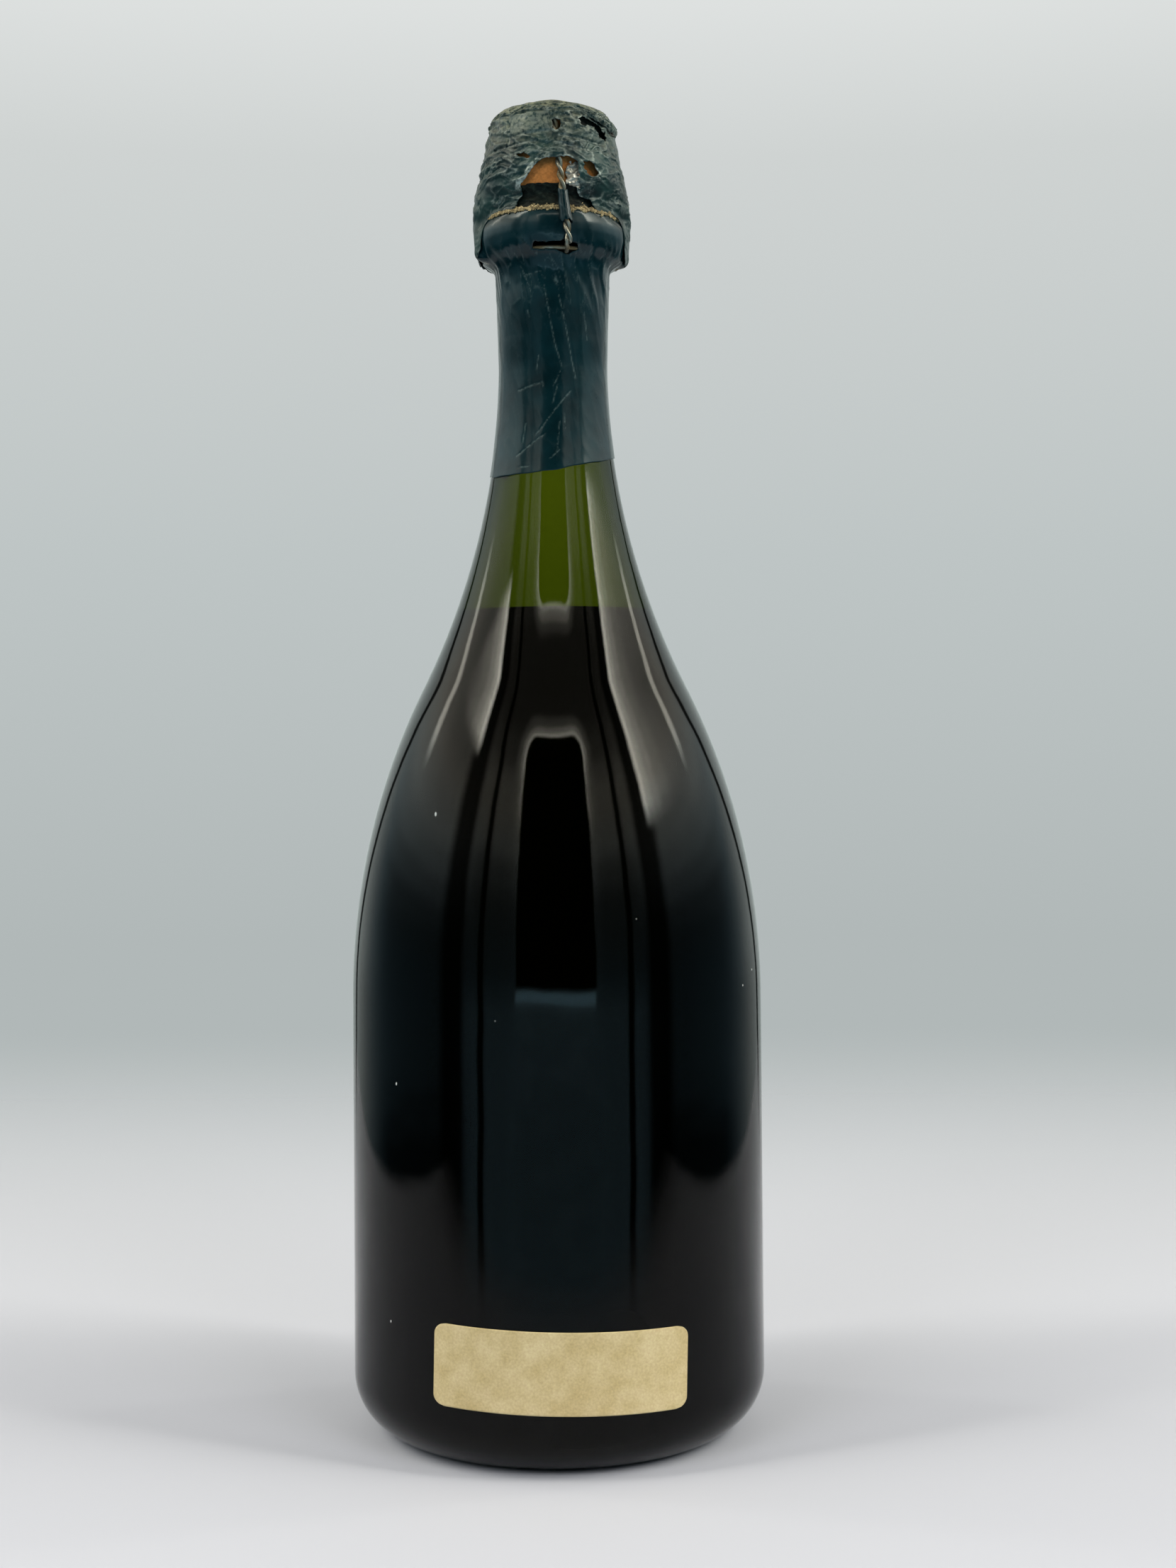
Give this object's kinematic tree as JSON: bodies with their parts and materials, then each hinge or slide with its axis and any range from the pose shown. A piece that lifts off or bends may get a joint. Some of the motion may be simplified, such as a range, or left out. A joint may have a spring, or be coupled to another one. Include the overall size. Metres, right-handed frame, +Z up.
{
  "type": "champagne bottle",
  "caption": "Corked glass bottle of sparkling wine with a deep punt, mushroom cork under a twisted wire cage, torn foil hood, foil neck sleeve and a small bare paper label.",
  "frame": {"origin": "centre of the foot ring, on the surface that the bottle stands on", "axes": "+Z up the bottle to the cork, -Y out of the side that carries the label"},
  "size_m": [0.0938, 0.0942, 0.302],
  "materials": {
    "green_glass": "polished",
    "wine": "gloss",
    "pressed_cork": "matte",
    "natural_cork": "matte",
    "tinned_plate": "satin",
    "cage_wire": "satin",
    "aged_foil": "matte",
    "green_foil": "satin",
    "aged_paper": "matte"
  },
  "bodies": {
    "bottle": {"bottle_glass": "green_glass", "wine": "wine", "foil_neck_sleeve": "green_foil", "back_label": "aged_paper"},
    "cork": {"cork_body": "pressed_cork", "cork_disc_upper": "natural_cork", "cork_disc_lower": "natural_cork"},
    "cage": {"cap_plate": "tinned_plate", "cage_frame_wire": "cage_wire", "cage_belt_wire": "cage_wire"},
    "hood": {"foil_hood": "aged_foil"}
  },
  "joints": [
    {"name": "cork_pull", "type": "slide", "parent": "bottle", "child": "cork", "axis": [0, 0, 1], "range_m": [0, 0.045], "deforming": ["cage_belt_wire", "cage_frame_wire"]},
    {"name": "cage_lift", "type": "slide", "parent": "cork", "child": "cage", "axis": [0, 0, 1], "range_m": [0, 0.045], "deforming": ["cage_belt_wire", "cage_frame_wire"]},
    {"name": "hood_lift", "type": "slide", "parent": "cage", "child": "hood", "axis": [0, 0, 1], "range_m": [0, 0.045]}
  ]
}
